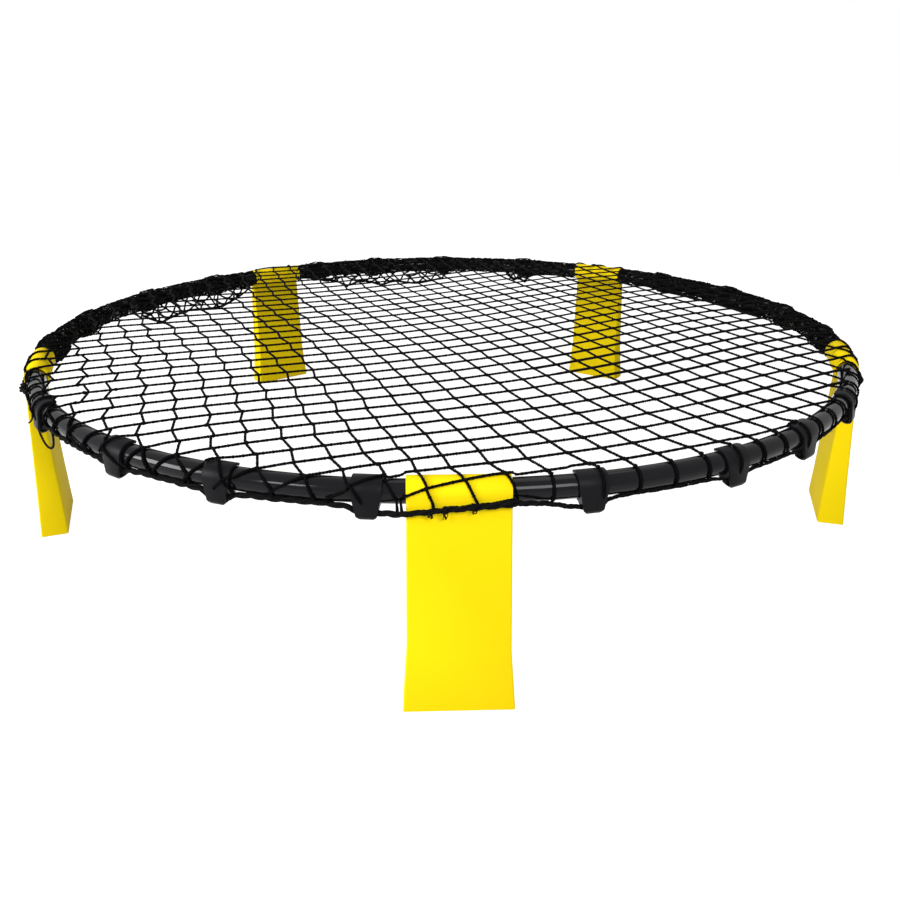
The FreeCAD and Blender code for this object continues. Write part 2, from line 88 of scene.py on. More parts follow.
@dataclass(frozen=True)
class RingPlan:
    """Plan of the tube ring: the sizes that its pieces share."""

    legs: int = 5
    reach: float = 0.441
    straight_half: float = 0.016
    axis_height: float = 0.170
    tube_radius: float = 0.009
    collar_radius: float = 0.0115
    collar_half: float = 0.0365
    clip_outer: float = 0.0115
    clip_half: float = 0.011
    first_leg: float = -math.pi / 2
    clip_shares: tuple[tuple[float, ...], ...] = (
        (0.168, 0.385, 0.546, 0.740),
        (0.180, 0.370, 0.583, 0.800),
        (0.235, 0.480, 0.690, 0.870),
        (0.190, 0.410, 0.650, 0.856),
        (0.257, 0.507, 0.688, 0.886),
    )

    @property
    def section(self) -> float:
        """Angle from one leg to the next."""
        return 2 * math.pi / self.legs

    @property
    def bend(self) -> float:
        """Radius of a tube's bend."""
        return self.reach - self.straight_half / math.sin(self.section / 2)

    @property
    def pivot(self) -> float:
        """Distance of a leg's joint from the ring's centre."""
        return self.bend + self.straight_half / math.tan(self.section / 2)

    @property
    def tube_length(self) -> float:
        """Length of one tube's centre line, from leg to leg."""
        return 2 * self.straight_half + self.bend * self.section

    def leg_azimuth(self, index: int) -> float:
        """Direction of a leg seen from above."""
        return self.first_leg + index * self.section

    def on_tube(self, section: int, share: float) -> tuple[Vector, float]:
        """Point on the tubes' centre line.

        Args:
            section: the leg that the tube starts at.
            share: how far along the tube, from 0 at its first leg to 1 at the next.

        Returns:
            The point, and the direction there that leads straight out of the ring.
        """
        total = self.tube_length
        run = share * total
        centre = Vector((self.pivot - self.bend, self.straight_half, 0))
        angle = (run - self.straight_half) / self.bend
        if run < self.straight_half:
            local, angle = Vector((self.pivot, run, 0)), 0.0
        elif run > total - self.straight_half:
            angle = self.section
            past = run - (total - self.straight_half)
            along = Vector((-math.sin(angle), math.cos(angle), 0))
            local = centre + self.bend * Vector((math.cos(angle), math.sin(angle), 0)) + past * along
        else:
            local = centre + self.bend * Vector((math.cos(angle), math.sin(angle), 0))
        first = self.leg_azimuth(section)
        point = Matrix.Rotation(first, 3, "Z") @ local
        point.z = self.axis_height
        return point, first + angle

    def beside_tube(self, section: int, share: float, along: float, out: float, up: float) -> Vector:
        """Point beside the tube, along it, outward and up from a share of the section."""
        point, azimuth = self.on_tube(section, share)
        return point + Matrix.Rotation(azimuth, 3, "Z") @ Vector((out, along, up))

    def across(self, azimuth: float) -> tuple[float, float]:
        """Where a line from the ring's centre crosses the tubes' centre line.

        Args:
            azimuth: direction of the line seen from above.

        Returns:
            Its distance from the centre, and the direction that leads straight out of the ring.
        """
        turn = (azimuth - self.first_leg) % self.section
        mirrored = turn > self.section / 2
        if mirrored:
            turn = self.section - turn
        if self.pivot * math.tan(turn) <= self.straight_half:
            distance, lean = self.pivot / math.cos(turn), -turn
        else:
            centre = Vector((self.pivot - self.bend, self.straight_half))
            ray = Vector((math.cos(turn), math.sin(turn)))
            middle = centre.dot(ray)
            distance = middle + math.sqrt(middle ** 2 - centre.length_squared + self.bend ** 2)
            normal = (distance * ray - centre).normalized()
            lean = math.atan2(normal.y, normal.x) - turn
        return distance, azimuth + (-lean if mirrored else lean)


class Tree:
    """Short way to add and link nodes."""

    def __init__(self, tree: bpy.types.NodeTree) -> None:
        """Work on this node tree."""
        self.tree = tree

    def clear(self) -> None:
        """Take out the nodes that a new tree starts with."""
        self.tree.nodes.clear()

    def add(self, kind: str, **values: object) -> bpy.types.Node:
        """Add a node.

        Args:
            kind: the node's type.
            values: properties of the node, or values of its inputs by name, with _ for a space.

        Returns:
            The node.
        """
        node = self.tree.nodes.new(kind)
        for name, value in values.items():
            plain = name.replace("_", " ")
            if hasattr(node, name) and name[0].islower():
                setattr(node, name, value)
            else:
                node.inputs[plain].default_value = value
        return node

    def link(self, source: bpy.types.Node, output: object, target: bpy.types.Node, into: object) -> None:
        """Join one node's output to another's input, each by name or number."""
        self.tree.links.new(source.outputs[output], target.inputs[into])

    def show_to_background_rays(self, lit: bpy.types.Node, shown: bpy.types.Node, end: str) -> None:
        """Show one shader to camera, glossy and transmission rays, and the other to all the rest.

        Args:
            lit: shader that lights the object.
            shown: shader that is seen as the background.
            end: type of the tree's output node.
        """
        seen = self.add("ShaderNodeLightPath")
        direct = self.add("ShaderNodeMath", operation="MAXIMUM")
        every = self.add("ShaderNodeMath", operation="MAXIMUM")
        self.link(seen, "Is Camera Ray", direct, 0)
        self.link(seen, "Is Glossy Ray", direct, 1)
        self.link(direct, 0, every, 0)
        self.link(seen, "Is Transmission Ray", every, 1)
        mix = self.add("ShaderNodeMixShader")
        self.link(every, 0, mix, 0)
        self.link(lit, 0, mix, 1)
        self.link(shown, 0, mix, 2)
        out = self.add(end)
        self.link(mix, 0, out, 0)


def new_object(name: str, shape: bmesh.types.BMesh) -> bpy.types.Object:
    """Make an object at the origin.

    Args:
        name: name of the object and its mesh.
        shape: the finished bmesh, which is freed.

    Returns:
        The object.
    """
    mesh = bpy.data.meshes.new(name)
    shape.to_mesh(mesh)
    shape.free()
    piece = bpy.data.objects.new(name, mesh)
    bpy.context.scene.collection.objects.link(piece)
    return piece


def shade_smooth(piece: bpy.types.Object) -> None:
    """Soft shading over all faces."""
    piece.data.polygons.foreach_set("use_smooth", [True] * len(piece.data.polygons))


@dataclass(frozen=True)
class Lamp:
    """A square lamp: its name, place, side and power in watts."""

    name: str
    place: tuple[float, float, float]
    side: float
    power: float


@dataclass(frozen=True)
class Studio:
    """Camera, floor and plain soft light."""

    camera_place: tuple[float, float, float] = (-0.0224, -0.9447, 0.416)
    heading: float = math.radians(88.17)
    tilt: float = math.radians(22.92)
    lens: float = 32.56
    sensor: float = 36.0
    nearest: float = 0.02
    floor_half: float = 9.0
    floor_drop: float = 0.0004
    floor_lit: tuple[float, ...] = (0.58, 0.58, 0.58, 1)
    floor_shown: tuple[float, ...] = (0.45, 0.45, 0.46, 1)
    floor_glow: float = 0.86
    ambient: float = 0.33
    lamp_aim: tuple[float, float, float] = (0.0, 0.0, 0.12)
    lamps: tuple[Lamp, ...] = (
        Lamp("front_softbox", (0.40, -1.36, 0.90), 0.50, 9.2),
        Lamp("small_front_lamp", (-1.05, -1.50, 1.00), 0.34, 6.5),
        Lamp("left_softbox", (-3.00, -1.20, 1.20), 1.2, 88.0),
        Lamp("overhead_softbox", (0.3, 0.5, 2.1), 1.2, 5.5),
    )

    def set_camera(self) -> None:
        """Put the camera where the photograph was taken from."""
        data = bpy.data.cameras.new("camera")
        data.sensor_width = self.sensor
        data.lens = self.lens
        data.clip_start = self.nearest
        camera = bpy.data.objects.new("camera", data)
        bpy.context.scene.collection.objects.link(camera)
        level = math.cos(self.tilt)
        ahead = Vector((math.cos(self.heading) * level, math.sin(self.heading) * level, -math.sin(self.tilt)))
        camera.location = self.camera_place
        camera.rotation_mode = "QUATERNION"
        camera.rotation_quaternion = ahead.to_track_quat("-Z", "Y")
        bpy.context.scene.camera = camera

    def lay_floor(self) -> None:
        """Lay a pale floor that glows, almost white, for the rays that show the background."""
        shape = bmesh.new()
        bmesh.ops.create_grid(shape, x_segments=1, y_segments=1, size=self.floor_half)
        floor = new_object("floor", shape)
        floor.location.z = -self.floor_drop
        material = bpy.data.materials.new("pale_floor")
        material.use_nodes = True
        tree = Tree(material.node_tree)
        tree.clear()
        lit = tree.add("ShaderNodeBsdfDiffuse", Color=self.floor_lit)
        shaded = tree.add("ShaderNodeBsdfDiffuse", Color=self.floor_shown)
        glow = tree.add("ShaderNodeEmission", Color=WHITE, Strength=self.floor_glow)
        both = tree.add("ShaderNodeAddShader")
        tree.link(shaded, 0, both, 0)
        tree.link(glow, 0, both, 1)
        tree.show_to_background_rays(lit, both, "ShaderNodeOutputMaterial")
        floor.data.materials.append(material)

    def light(self) -> None:
        """Set up the white surroundings and the soft lamps."""
        world = bpy.data.worlds.new("white_surroundings")
        bpy.context.scene.world = world
        world.use_nodes = True
        tree = Tree(world.node_tree)
        tree.clear()
        around = tree.add("ShaderNodeBackground", Color=WHITE, Strength=self.ambient)
        shown = tree.add("ShaderNodeBackground", Color=WHITE, Strength=1.0)
        tree.show_to_background_rays(around, shown, "ShaderNodeOutputWorld")
        for lamp in self.lamps:
            self._hang(lamp)

    def _hang(self, lamp: Lamp) -> None:
        """Hang one lamp, aimed at the middle of the ring.

        Args:
            lamp: the lamp's name and sizes.
        """
        data = bpy.data.lights.new(lamp.name, "AREA")
        data.shape = "SQUARE"
        data.size = lamp.side
        data.energy = lamp.power
        holder = bpy.data.objects.new(lamp.name, data)
        bpy.context.scene.collection.objects.link(holder)
        holder.location = lamp.place
        aim = Vector(self.lamp_aim) - Vector(lamp.place)
        holder.rotation_mode = "QUATERNION"
        holder.rotation_quaternion = aim.to_track_quat("-Z", "Y")


def surface_group() -> bpy.types.NodeTree:
    """Shared effect: soft blotches and a fine grain, as masks and a height.

    Returns:
        The group, with inputs for the scales per metre and outputs Blotch, Grain and Height.
    """
    group = bpy.data.node_groups.new("blotch_and_grain", "ShaderNodeTree")
    for name in ("Coarse", "Fine"):
        group.interface.new_socket(name, in_out="INPUT", socket_type="NodeSocketFloat")
    for name in ("Blotch", "Grain", "Height"):
        group.interface.new_socket(name, in_out="OUTPUT", socket_type="NodeSocketFloat")
    tree = Tree(group)
    given = tree.add("NodeGroupInput")
    out = tree.add("NodeGroupOutput")
    place = tree.add("ShaderNodeTexCoord")
    blotch = tree.add("ShaderNodeTexNoise", Detail=3.0, Roughness=0.55)
    grain = tree.add("ShaderNodeTexNoise", Detail=2.0, Roughness=0.6)
    for noise, scale in ((blotch, "Coarse"), (grain, "Fine")):
        tree.link(place, "Object", noise, "Vector")
        tree.link(given, scale, noise, "Scale")
    height = tree.add("ShaderNodeMath", operation="MULTIPLY_ADD")
    height.inputs[1].default_value = BLOTCH_HEIGHT
    tree.link(blotch, 0, height, 0)
    tree.link(grain, 0, height, 2)
    tree.link(blotch, 0, out, "Blotch")
    tree.link(grain, 0, out, "Grain")
    tree.link(height, 0, out, "Height")
    return group


@dataclass(frozen=True)
class Finish:
    """A finish: two shades mixed by soft blotches, a roughness range and a fine relief."""

    name: str
    light: tuple[float, float, float]
    dark: tuple[float, float, float]
    rough_low: float
    rough_high: float
    coarse: float
    fine: float
    relief: float
    depth: float
    specular: float

    def material(self, group: bpy.types.NodeTree) -> bpy.types.Material:
        """Material of this finish.

        Args:
            group: the shared surface effect.

        Returns:
            The material.
        """
        material = bpy.data.materials.new(self.name)
        material.use_nodes = True
        tree = Tree(material.node_tree)
        tree.clear()
        effect = tree.add("ShaderNodeGroup", node_tree=group)
        effect.inputs["Coarse"].default_value = self.coarse
        effect.inputs["Fine"].default_value = self.fine
        shade = tree.add("ShaderNodeMix", data_type="RGBA")
        colours = {socket.identifier: socket for socket in shade.inputs}
        colours["A_Color"].default_value = (*self.dark, 1)
        colours["B_Color"].default_value = (*self.light, 1)
        tree.tree.links.new(effect.outputs["Blotch"], colours["Factor_Float"])
        rough = tree.add("ShaderNodeMapRange")
        rough.inputs["To Min"].default_value = self.rough_low
        rough.inputs["To Max"].default_value = self.rough_high
        tree.link(effect, "Grain", rough, "Value")
        bump = tree.add("ShaderNodeBump", Strength=self.relief, Distance=self.depth)
        tree.link(effect, "Height", bump, "Height")
        shader = tree.add("ShaderNodeBsdfPrincipled")
        shader.inputs["Specular IOR Level"].default_value = self.specular
        result = {socket.identifier: socket for socket in shade.outputs}
        tree.tree.links.new(result["Result_Color"], shader.inputs["Base Color"])
        tree.link(rough, "Result", shader, "Roughness")
        tree.link(bump, "Normal", shader, "Normal")
        out = tree.add("ShaderNodeOutputMaterial")
        tree.link(shader, 0, out, 0)
        return material


YELLOW = Finish(
    name="moulded_yellow", light=(0.95, 0.72, 0.006), dark=(0.93, 0.685, 0.004), rough_low=0.50,
    rough_high=0.62, coarse=22, fine=900, relief=0.10, depth=0.0004, specular=0.02)
TUBE = Finish(
    name="glossy_black_tube", light=(0.006, 0.006, 0.008), dark=(0.003, 0.003, 0.004), rough_low=0.07,
    rough_high=0.13, coarse=40, fine=1400, relief=0.05, depth=0.0002, specular=0.15)
CLIP = Finish(
    name="satin_black_clip", light=(0.010, 0.010, 0.011), dark=(0.005, 0.005, 0.006), rough_low=0.34,
    rough_high=0.46, coarse=60, fine=1600, relief=0.18, depth=0.0003, specular=0.06)
ROPE = Finish(
    name="bundled_border_cord", light=(0.006, 0.006, 0.006), dark=(0.001, 0.001, 0.001), rough_low=0.75,
    rough_high=0.92, coarse=400, fine=2600, relief=0.8, depth=0.0006, specular=0.08)
CORD = Finish(
    name="knotted_net_cord", light=(0.004, 0.004, 0.004), dark=(0.001, 0.001, 0.001), rough_low=0.78,
    rough_high=0.94, coarse=500, fine=3000, relief=0.8, depth=0.0005, specular=0.05)


class Weaver:
    """Collects runs of twisted cord and sweeps them into one mesh."""

    def __init__(self, name: str, width: float, thickness: float, lay: float, sides: int = 6) -> None:
        """Start an empty piece.

        Args:
            name: name of the finished piece.
            width: larger diameter of the cord's section, over both strands.
            thickness: smaller diameter of the section.
            lay: length in which the strands turn once round each other.
            sides: corners of the section.
        """
        self.name = name
        self.lay = lay
        self.profile = self._section(width / 2, thickness / 2, sides)
        self.curve = bpy.data.curves.new(name + "_runs", "CURVE")
        self.curve.dimensions = "3D"
        self.curve.bevel_mode = "OBJECT"
        self.curve.bevel_object = self.profile
        self.curve.use_fill_caps = True

    def _section(self, half_width: float, half_thickness: float, sides: int) -> bpy.types.Object:
        """Make the closed outline that is swept along each run.

        Args:
            half_width: larger half diameter.
            half_thickness: smaller half diameter.
            sides: corners of the outline.

        Returns:
            The outline.
        """
        data = bpy.data.curves.new(self.name + "_section", "CURVE")
        spline = data.splines.new("POLY")
        spline.points.add(sides - 1)
        for index in range(sides):
            angle = 2 * math.pi * index / sides
            spline.points[index].co = (half_width * math.cos(angle), half_thickness * math.sin(angle), 0, 1)
        spline.use_cyclic_u = True
        section = bpy.data.objects.new(self.name + "_section", data)
        bpy.context.scene.collection.objects.link(section)
        return section

    def add(self, points: Run, girth: float | list[float] = 1.0, closed: bool = False) -> None:
        """Add one run of cord.

        Args:
            points: the run's line.
            girth: share of the full thickness, for the whole run or for each point.
            closed: whether the run's end joins its start.
        """
        if len(points) < 2:
            return
        girths = girth if isinstance(girth, list) else [girth] * len(points)
        spline = self.curve.splines.new("POLY")
        spline.points.add(len(points) - 1)
        spline.use_cyclic_u = closed
        travelled = 0.0
        for index, point in enumerate(points):
            if index:
                travelled += (point - points[index - 1]).length
            spline.points[index].co = (*point, 1)
            spline.points[index].radius = girths[index]
            spline.points[index].tilt = 2 * math.pi * travelled / self.lay

    def finish(self) -> bpy.types.Object:
        """Sweep the section along all runs.

        Returns:
            The piece.
        """
        holder = bpy.data.objects.new(self.name + "_runs", self.curve)
        bpy.context.scene.collection.objects.link(holder)
        graph = bpy.context.evaluated_depsgraph_get()
        mesh = bpy.data.meshes.new_from_object(holder.evaluated_get(graph))
        mesh.name = self.name
        piece = bpy.data.objects.new(self.name, mesh)
        bpy.context.scene.collection.objects.link(piece)
        for spare in (holder, self.profile):
            data = spare.data
            bpy.data.objects.remove(spare)
            bpy.data.curves.remove(data)
        shade_smooth(piece)
        return piece


def resample(points: Run, step: float) -> Run:
    """Even out a run.

    Args:
        points: corners of the run.
        step: distance from point to point.

    Returns:
        Points at even steps along the run, its two ends kept.
    """
    result = [points[0].copy()]
    left = step
    for before, after in zip(points, points[1:]):
        piece = after - before
        length = piece.length
        while length > left:
            before = before + piece.normalized() * left
            result.append(before.copy())
            piece = after - before
            length = piece.length
            left = step
        left -= length
    if (result[-1] - points[-1]).length > step / 3:
        result.append(points[-1].copy())
    else:
        result[-1] = points[-1].copy()
    return result


def smooth_line(points: Run, per_point: int, closed: bool = False) -> Run:
    """Draw a smooth line.

    Args:
        points: control points of the NURBS spline.
        per_point: points of the line for each control point.
        closed: whether the line's end joins its start.

    Returns:
        The spline's line.
    """
    data = bpy.data.curves.new("route", "CURVE")
    data.dimensions = "3D"
    data.resolution_u = per_point
    spline = data.splines.new("NURBS")
    spline.points.add(len(points) - 1)
    for index, point in enumerate(points):
        spline.points[index].co = (*point, 1)
    spline.order_u = 3
    spline.use_endpoint_u = not closed
    spline.use_cyclic_u = closed
    holder = bpy.data.objects.new("route", data)
    bpy.context.scene.collection.objects.link(holder)
    graph = bpy.context.evaluated_depsgraph_get()
    mesh = bpy.data.meshes.new_from_object(holder.evaluated_get(graph))
    line = [vertex.co.copy() for vertex in mesh.vertices]
    bpy.data.objects.remove(holder)
    bpy.data.curves.remove(data)
    bpy.data.meshes.remove(mesh)
    return line


@dataclass(frozen=True)
class Softener:
    """Copies moulded pieces of the frame and rounds their sharp edges."""

    radius: float
    sharpest: float = math.radians(24)
    same_plane: float = math.radians(1.5)
    crease: float = math.radians(40)
    weld: float = 1e-6

    def soften(self, node: bpy.types.Object, name: str) -> bpy.types.Object:
        """Make the rounded copy that stands for a carried-over node.

        Args:
            node: the piece as the frame brings it, left as it is.
            name: name of the copy.

        Returns:
            The copy.
        """
        shape = bmesh.new()
        shape.from_mesh(node.data)
        bmesh.ops.remove_doubles(shape, verts=shape.verts, dist=self.weld)
        bmesh.ops.dissolve_limit(
            shape, angle_limit=self.same_plane, verts=shape.verts, edges=shape.edges,
            use_dissolve_boundaries=False)
        shape.normal_update()
        edges = [
            edge for edge in shape.edges
            if edge.is_manifold and edge.is_convex and edge.calc_face_angle(0.0) > self.sharpest
        ]
        bmesh.ops.bevel(
            shape, geom=edges, offset=self.radius, offset_type="OFFSET", affect="EDGES", segments=2,
            profile=0.5, material=-1, clamp_overlap=True)
        copy = new_object(name, shape)
        shade_smooth(copy)
        copy.data.set_sharp_from_angle(angle=self.crease)
        return copy


@dataclass
class BorderRope:
    """The net's border rope: loosely twisted cords through the clips and over the legs."""

    plan: RingPlan
    clip_out: float = 0.00805
    clip_drop: float = 0.0136
    clip_run: float = 0.0075
    hug_lift: float = 0.0021
    hug_angle: float = math.radians(48)
    hug_run: float = 0.0130
    leg_out: float = 0.01435
    leg_splay: float = 0.0824
    leg_run: float = 0.0375
    leg_turn: float = 0.0410
    leg_hug: float = 0.0600
    over_legs: tuple[tuple[float, float], ...] = (
        (-0.010, -0.003),
        (-0.008, -0.008),
        (-0.006, -0.006),
        (-0.006, -0.006),
        (-0.009, -0.009),
    )
    strand_count: int = 3
    strand_width: float = 0.0027
    strand_offset: float = 0.00125
    strand_flatness: float = 0.8
    strand_lay: float = 0.009
    strand_sides: int = 7
    looseness: float = 0.25
    slimming: float = 0.30
    slim_from: tuple[float, float] = (0.10, 0.22)
    slim_to: tuple[float, float] = (1.05, 1.20)
    lay: float = 0.034
    step: float = 0.0022
    seed: int = 11

    def route(self) -> Run:
        """Plan the rope's way round the ring.

        Returns:
            Its corners.
        """
        length = self.plan.tube_length
        corners = []
        for section in range(self.plan.legs):
            before, after = self.over_legs[section]
            out = self.leg_out + self.leg_splay * max(-before, -after)
            for along, up in (
                (-self.leg_turn, before),
                (-self.leg_run, before),
                (self.leg_run, after),
                (self.leg_turn, after),
            ):
                corners.append(self.plan.beside_tube(section, 0.0, along, out, up))
            shares = self.plan.clip_shares[section]
            corners.append(self._hug(section, self.leg_hug / length))
            for index, share in enumerate(shares):
                if index:
                    corners.append(self._hug(section, shares[index - 1] + self.hug_run / length))
                    corners.append(self._hug(section, (shares[index - 1] + share) / 2))
                    corners.append(self._hug(section, share - self.hug_run / length))
                for along in (-self.clip_run, self.clip_run):
                    corners.append(self.plan.beside_tube(
                        section, share, along, self.clip_out, -self.clip_drop))
            if (1 - shares[-1]) * length > self.leg_hug + self.hug_run:
                corners.append(self._hug(section, 1 - self.leg_hug / length))
        return corners

    def _hug(self, section: int, share: float) -> Vector:
        """Point where the rope lies against the tube's lower outside."""
        reach = self.plan.tube_radius + self.hug_lift * self.girth(self.plan.on_tube(section, share)[0])
        return self.plan.beside_tube(
            section, share, 0, reach * math.cos(self.hug_angle), -reach * math.sin(self.hug_angle))

    def line(self) -> Run:
        """Even points along the rope's centre."""
        points = smooth_line(self.route(), SPLINE_POINTS, closed=True)
        return resample(points + points[:1], self.step)[:-1]

    def girth(self, point: Vector) -> float:
        """How thick the bundle is: slim at the right front, where the net is pulled tight.

        Args:
            point: place on the rope.

        Returns:
            Share of the full thickness.
        """
        azimuth = math.atan2(point.y, point.x)
        from_front = azimuth - self.plan.first_leg
        slim = smooth(*self.slim_from, from_front) * (1 - smooth(*self.slim_to, from_front))
        return 1.0 - self.slimming * slim

    def build(self, line: Run) -> bpy.types.Object:
        """Make the rope.

        Args:
            line: even points along its centre.

        Returns:
            The rope.
        """
        chance = random.Random(self.seed)
        thickness = self.strand_width * self.strand_flatness
        weaver = Weaver("border_rope", self.strand_width, thickness, self.strand_lay, self.strand_sides)
        count = len(line)
        waves = [(chance.uniform(0, 6.28), chance.randint(19, 37)) for _ in range(self.strand_count)]
        turns = round(count * self.step / self.lay)
        girths = [self.girth(point) for point in line]
        for strand in range(self.strand_count):
            phase, wave = waves[strand]
            points = []
            for index, point in enumerate(line):
                ahead = (line[(index + 1) % count] - line[index - 1]).normalized()
                side = ahead.cross(Vector((0, 0, 1))).normalized()
                over = side.cross(ahead)
                share = index / count
                angle = 2 * math.pi * (turns * share + strand / self.strand_count)
                stray = 1 + self.looseness * math.sin(2 * math.pi * wave * share + phase)
                reach = self.strand_offset * girths[index] * stray
                points.append(point + reach * (math.cos(angle) * side + math.sin(angle) * over))
            weaver.add(points, girth=girths, closed=True)
        return weaver.finish()


@dataclass(frozen=True)
class CordFamily:
    """One family of the net's cords, as a level that is a whole number along each cord.

    The level grows across the cords and bends along them. Distances across and along are
    counted in units from the ring's centre. Past the last ones the cords run straight on.
    """

    normal: float
    start: float
    per_unit: float
    crowding: float
    far_crowding: float
    fan: float
    far_fan: float
    pinch: float
    bow: float
    lean: float
    curl: float
    last_across: float
    last_along: float
    unit: float = 0.1

    def level(self, x: float, y: float) -> tuple[float, float, float]:
        """Find the level at a point of the plan.

        Args:
            x: place to the right.
            y: place to the back.

        Returns:
            The level, and its slopes along x and y.
        """
        cosine, sine = math.cos(self.normal), math.sin(self.normal)
        far_s = (x * cosine + y * sine) / self.unit
        far_t = (y * cosine - x * sine) / self.unit
        s, t = min(far_s, self.last_across), min(far_t, self.last_along)
        across = self.per_unit + s * (self.crowding + s * self.far_crowding)
        across += t * (self.fan + s * self.far_fan)
        across += t * t * self.pinch
        value = self.start + s * across + t * t * (self.bow + t * (self.lean + t * self.curl))
        rise_s = self.per_unit + 2 * s * self.crowding + 3 * s * s * self.far_crowding
        rise_s += t * self.fan + 2 * s * t * self.far_fan + t * t * self.pinch
        rise_t = s * self.fan + s * s * self.far_fan + 2 * s * t * self.pinch
        rise_t += 2 * t * self.bow + 3 * t * t * self.lean + 4 * t ** 3 * self.curl
        value += (far_s - s) * rise_s + (far_t - t) * rise_t
        slope_x = (rise_s * cosine - rise_t * sine) / self.unit
        slope_y = (rise_s * sine + rise_t * cosine) / self.unit
        return value, slope_x, slope_y


@dataclass
class KnottedNet:
    """The knotted net: two families of cords, stretched flat and wrapped over the tubes."""

    plan: RingPlan
    flat_cords: CordFamily = CordFamily(
        normal=math.radians(117.0), start=-0.08, per_unit=3.738, crowding=-0.048, far_crowding=0.0, fan=0.011,
        far_fan=-0.015, pinch=0.0, bow=-0.197, lean=-0.014, curl=0.008, last_across=2.6, last_along=4.2)
    steep_cords: CordFamily = CordFamily(
        normal=math.radians(23.6), start=-0.37, per_unit=3.952, crowding=-0.030, far_crowding=-0.007, fan=0.0,
        far_fan=-0.005, pinch=-0.020, bow=0.071, lean=-0.017, curl=-0.007, last_across=4.2, last_along=2.7)
    cord_width: float = 0.0027
    cord_thickness: float = 0.0021
    lay: float = 0.0072
    step: float = 0.0024
    rest_on: float = 0.0012
    inner_lift: float = 0.0012
    lift_run: float = 0.014
    collar_edge: float = 0.004
    clip_edge: float = 0.003
    cut_from: float = 0.50
    wrap_angle: float = math.radians(112)
    span: int = 26
    knot_radius: float = 0.0019
    knot_clear: float = 0.002
    knot_sizes: tuple[float, float] = (0.85, 1.15)
    knot_stretch: tuple[float, float, float] = (1.25, 1.0, 0.85)
    tight_from: float = math.radians(-84)
    tight_to: float = math.radians(-25)
    gather: float = 0.010
    gather_run: float = 0.050
    far_left: tuple[float, float] = (0.22, 0.36)
    far_left_front: tuple[float, float] = (-0.02, 0.10)
    front: tuple[float, float] = (0.14, 0.32)
    front_left: tuple[float, float] = (-0.06, 0.14)
    slip_least: float = 0.0004
    slip_far_left: float = 0.0046
    slip_front_left: float = 0.0012
    left: tuple[float, float] = (-0.02, 0.20)
    leftmost: tuple[float, float] = (0.20, 0.36)
    zigzag_least: float = 0.0005
    zigzag_left: float = 0.0012
    zigzag_far_left: float = 0.0011
    stray_least: float = 0.0004
    stray_by_slip: float = 0.12
    right_from: tuple[float, float] = (-0.85, -0.50)
    right_to: tuple[float, float] = (-0.22, -0.08)
    left_from: tuple[float, float] = (-0.12, -0.01)
    left_to: tuple[float, float] = (0.12, 0.20)
    drag_right: float = 0.0060
    drag_left: float = 0.0075
    drag_run: float = 0.070
    tie_below: float = 0.003
    tie_reach: float = 0.022
    search_rounds: int = 14
    longest_move: float = 0.12
    small_enough: float = 1e-6
    seed: int = 5

    def __post_init__(self) -> None:
        """Find the clips' directions and start with no tight wraps."""
        self.clip_spots: list[float] = []
        for section, shares in enumerate(self.plan.clip_shares):
            for share in shares:
                point, _ = self.plan.on_tube(section, share)
                self.clip_spots.append(math.atan2(point.y, point.x))
        self.wraps: list[Vector] = []

    def swell(self, azimuth: float) -> float:
        """Find what the net wraps over: tube, clip or collar.

        Args:
            azimuth: direction seen from above.

        Returns:
            The radius that the cords' centres lie at there.
        """
        plan = self.plan
        radius = plan.tube_radius
        for index in range(plan.legs):
            off = abs(wrapped(azimuth - plan.leg_azimuth(index))) * plan.pivot
            if off < plan.collar_half + self.collar_edge:
                rise = 1 - smooth(plan.collar_half, plan.collar_half + self.collar_edge, off)
                radius = max(radius, plan.tube_radius + rise * (plan.collar_radius - plan.tube_radius))
        for spot in self.clip_spots:
            off = abs(wrapped(azimuth - spot)) * plan.reach
            if off < plan.clip_half + self.clip_edge:
                rise = 1 - smooth(plan.clip_half, plan.clip_half + self.clip_edge, off)
                radius = max(radius, plan.tube_radius + rise * (plan.clip_outer - plan.tube_radius))
        return radius + self.rest_on

    def past_tube(self, flat: Vector) -> float:
        """How far a point of the flat net lies past the tube's centre line."""
        return flat.length - self.plan.across(math.atan2(flat.y, flat.x))[0]

    def drape(self, flat: Vector) -> tuple[Vector, float]:
        """Lay a point of the flat net over the ring.

        Args:
            flat: the point in the plan.

        Returns:
            Its place, and the angle by which it lies past the tube's top.
        """
        azimuth = math.atan2(flat.y, flat.x)
        radius = self.swell(azimuth)
        past = self.past_tube(flat)
        if past <= 0:
            mean = self.plan.tube_radius + self.rest_on + self.inner_lift
            near = smooth(-self.lift_run, 0.0, past)
            height = self.plan.axis_height + mean + near * (radius - mean)
            return Vector((flat.x, flat.y, height)), 0.0
        return self.over_tube(azimuth, past / radius), past / radius

    def over_tube(self, azimuth: float, angle: float) -> Vector:
        """Find a point of the net on the tube's outside.

        Args:
            azimuth: direction seen from above.
            angle: angle from the tube's top.

        Returns:
            The point.
        """
        distance, out = self.plan.across(azimuth)
        radius = self.swell(azimuth)
        place = distance * Vector((math.cos(azimuth), math.sin(azimuth), 0))
        place += radius * math.sin(angle) * Vector((math.cos(out), math.sin(out), 0))
        place.z = self.plan.axis_height + radius * math.cos(angle)
        return place

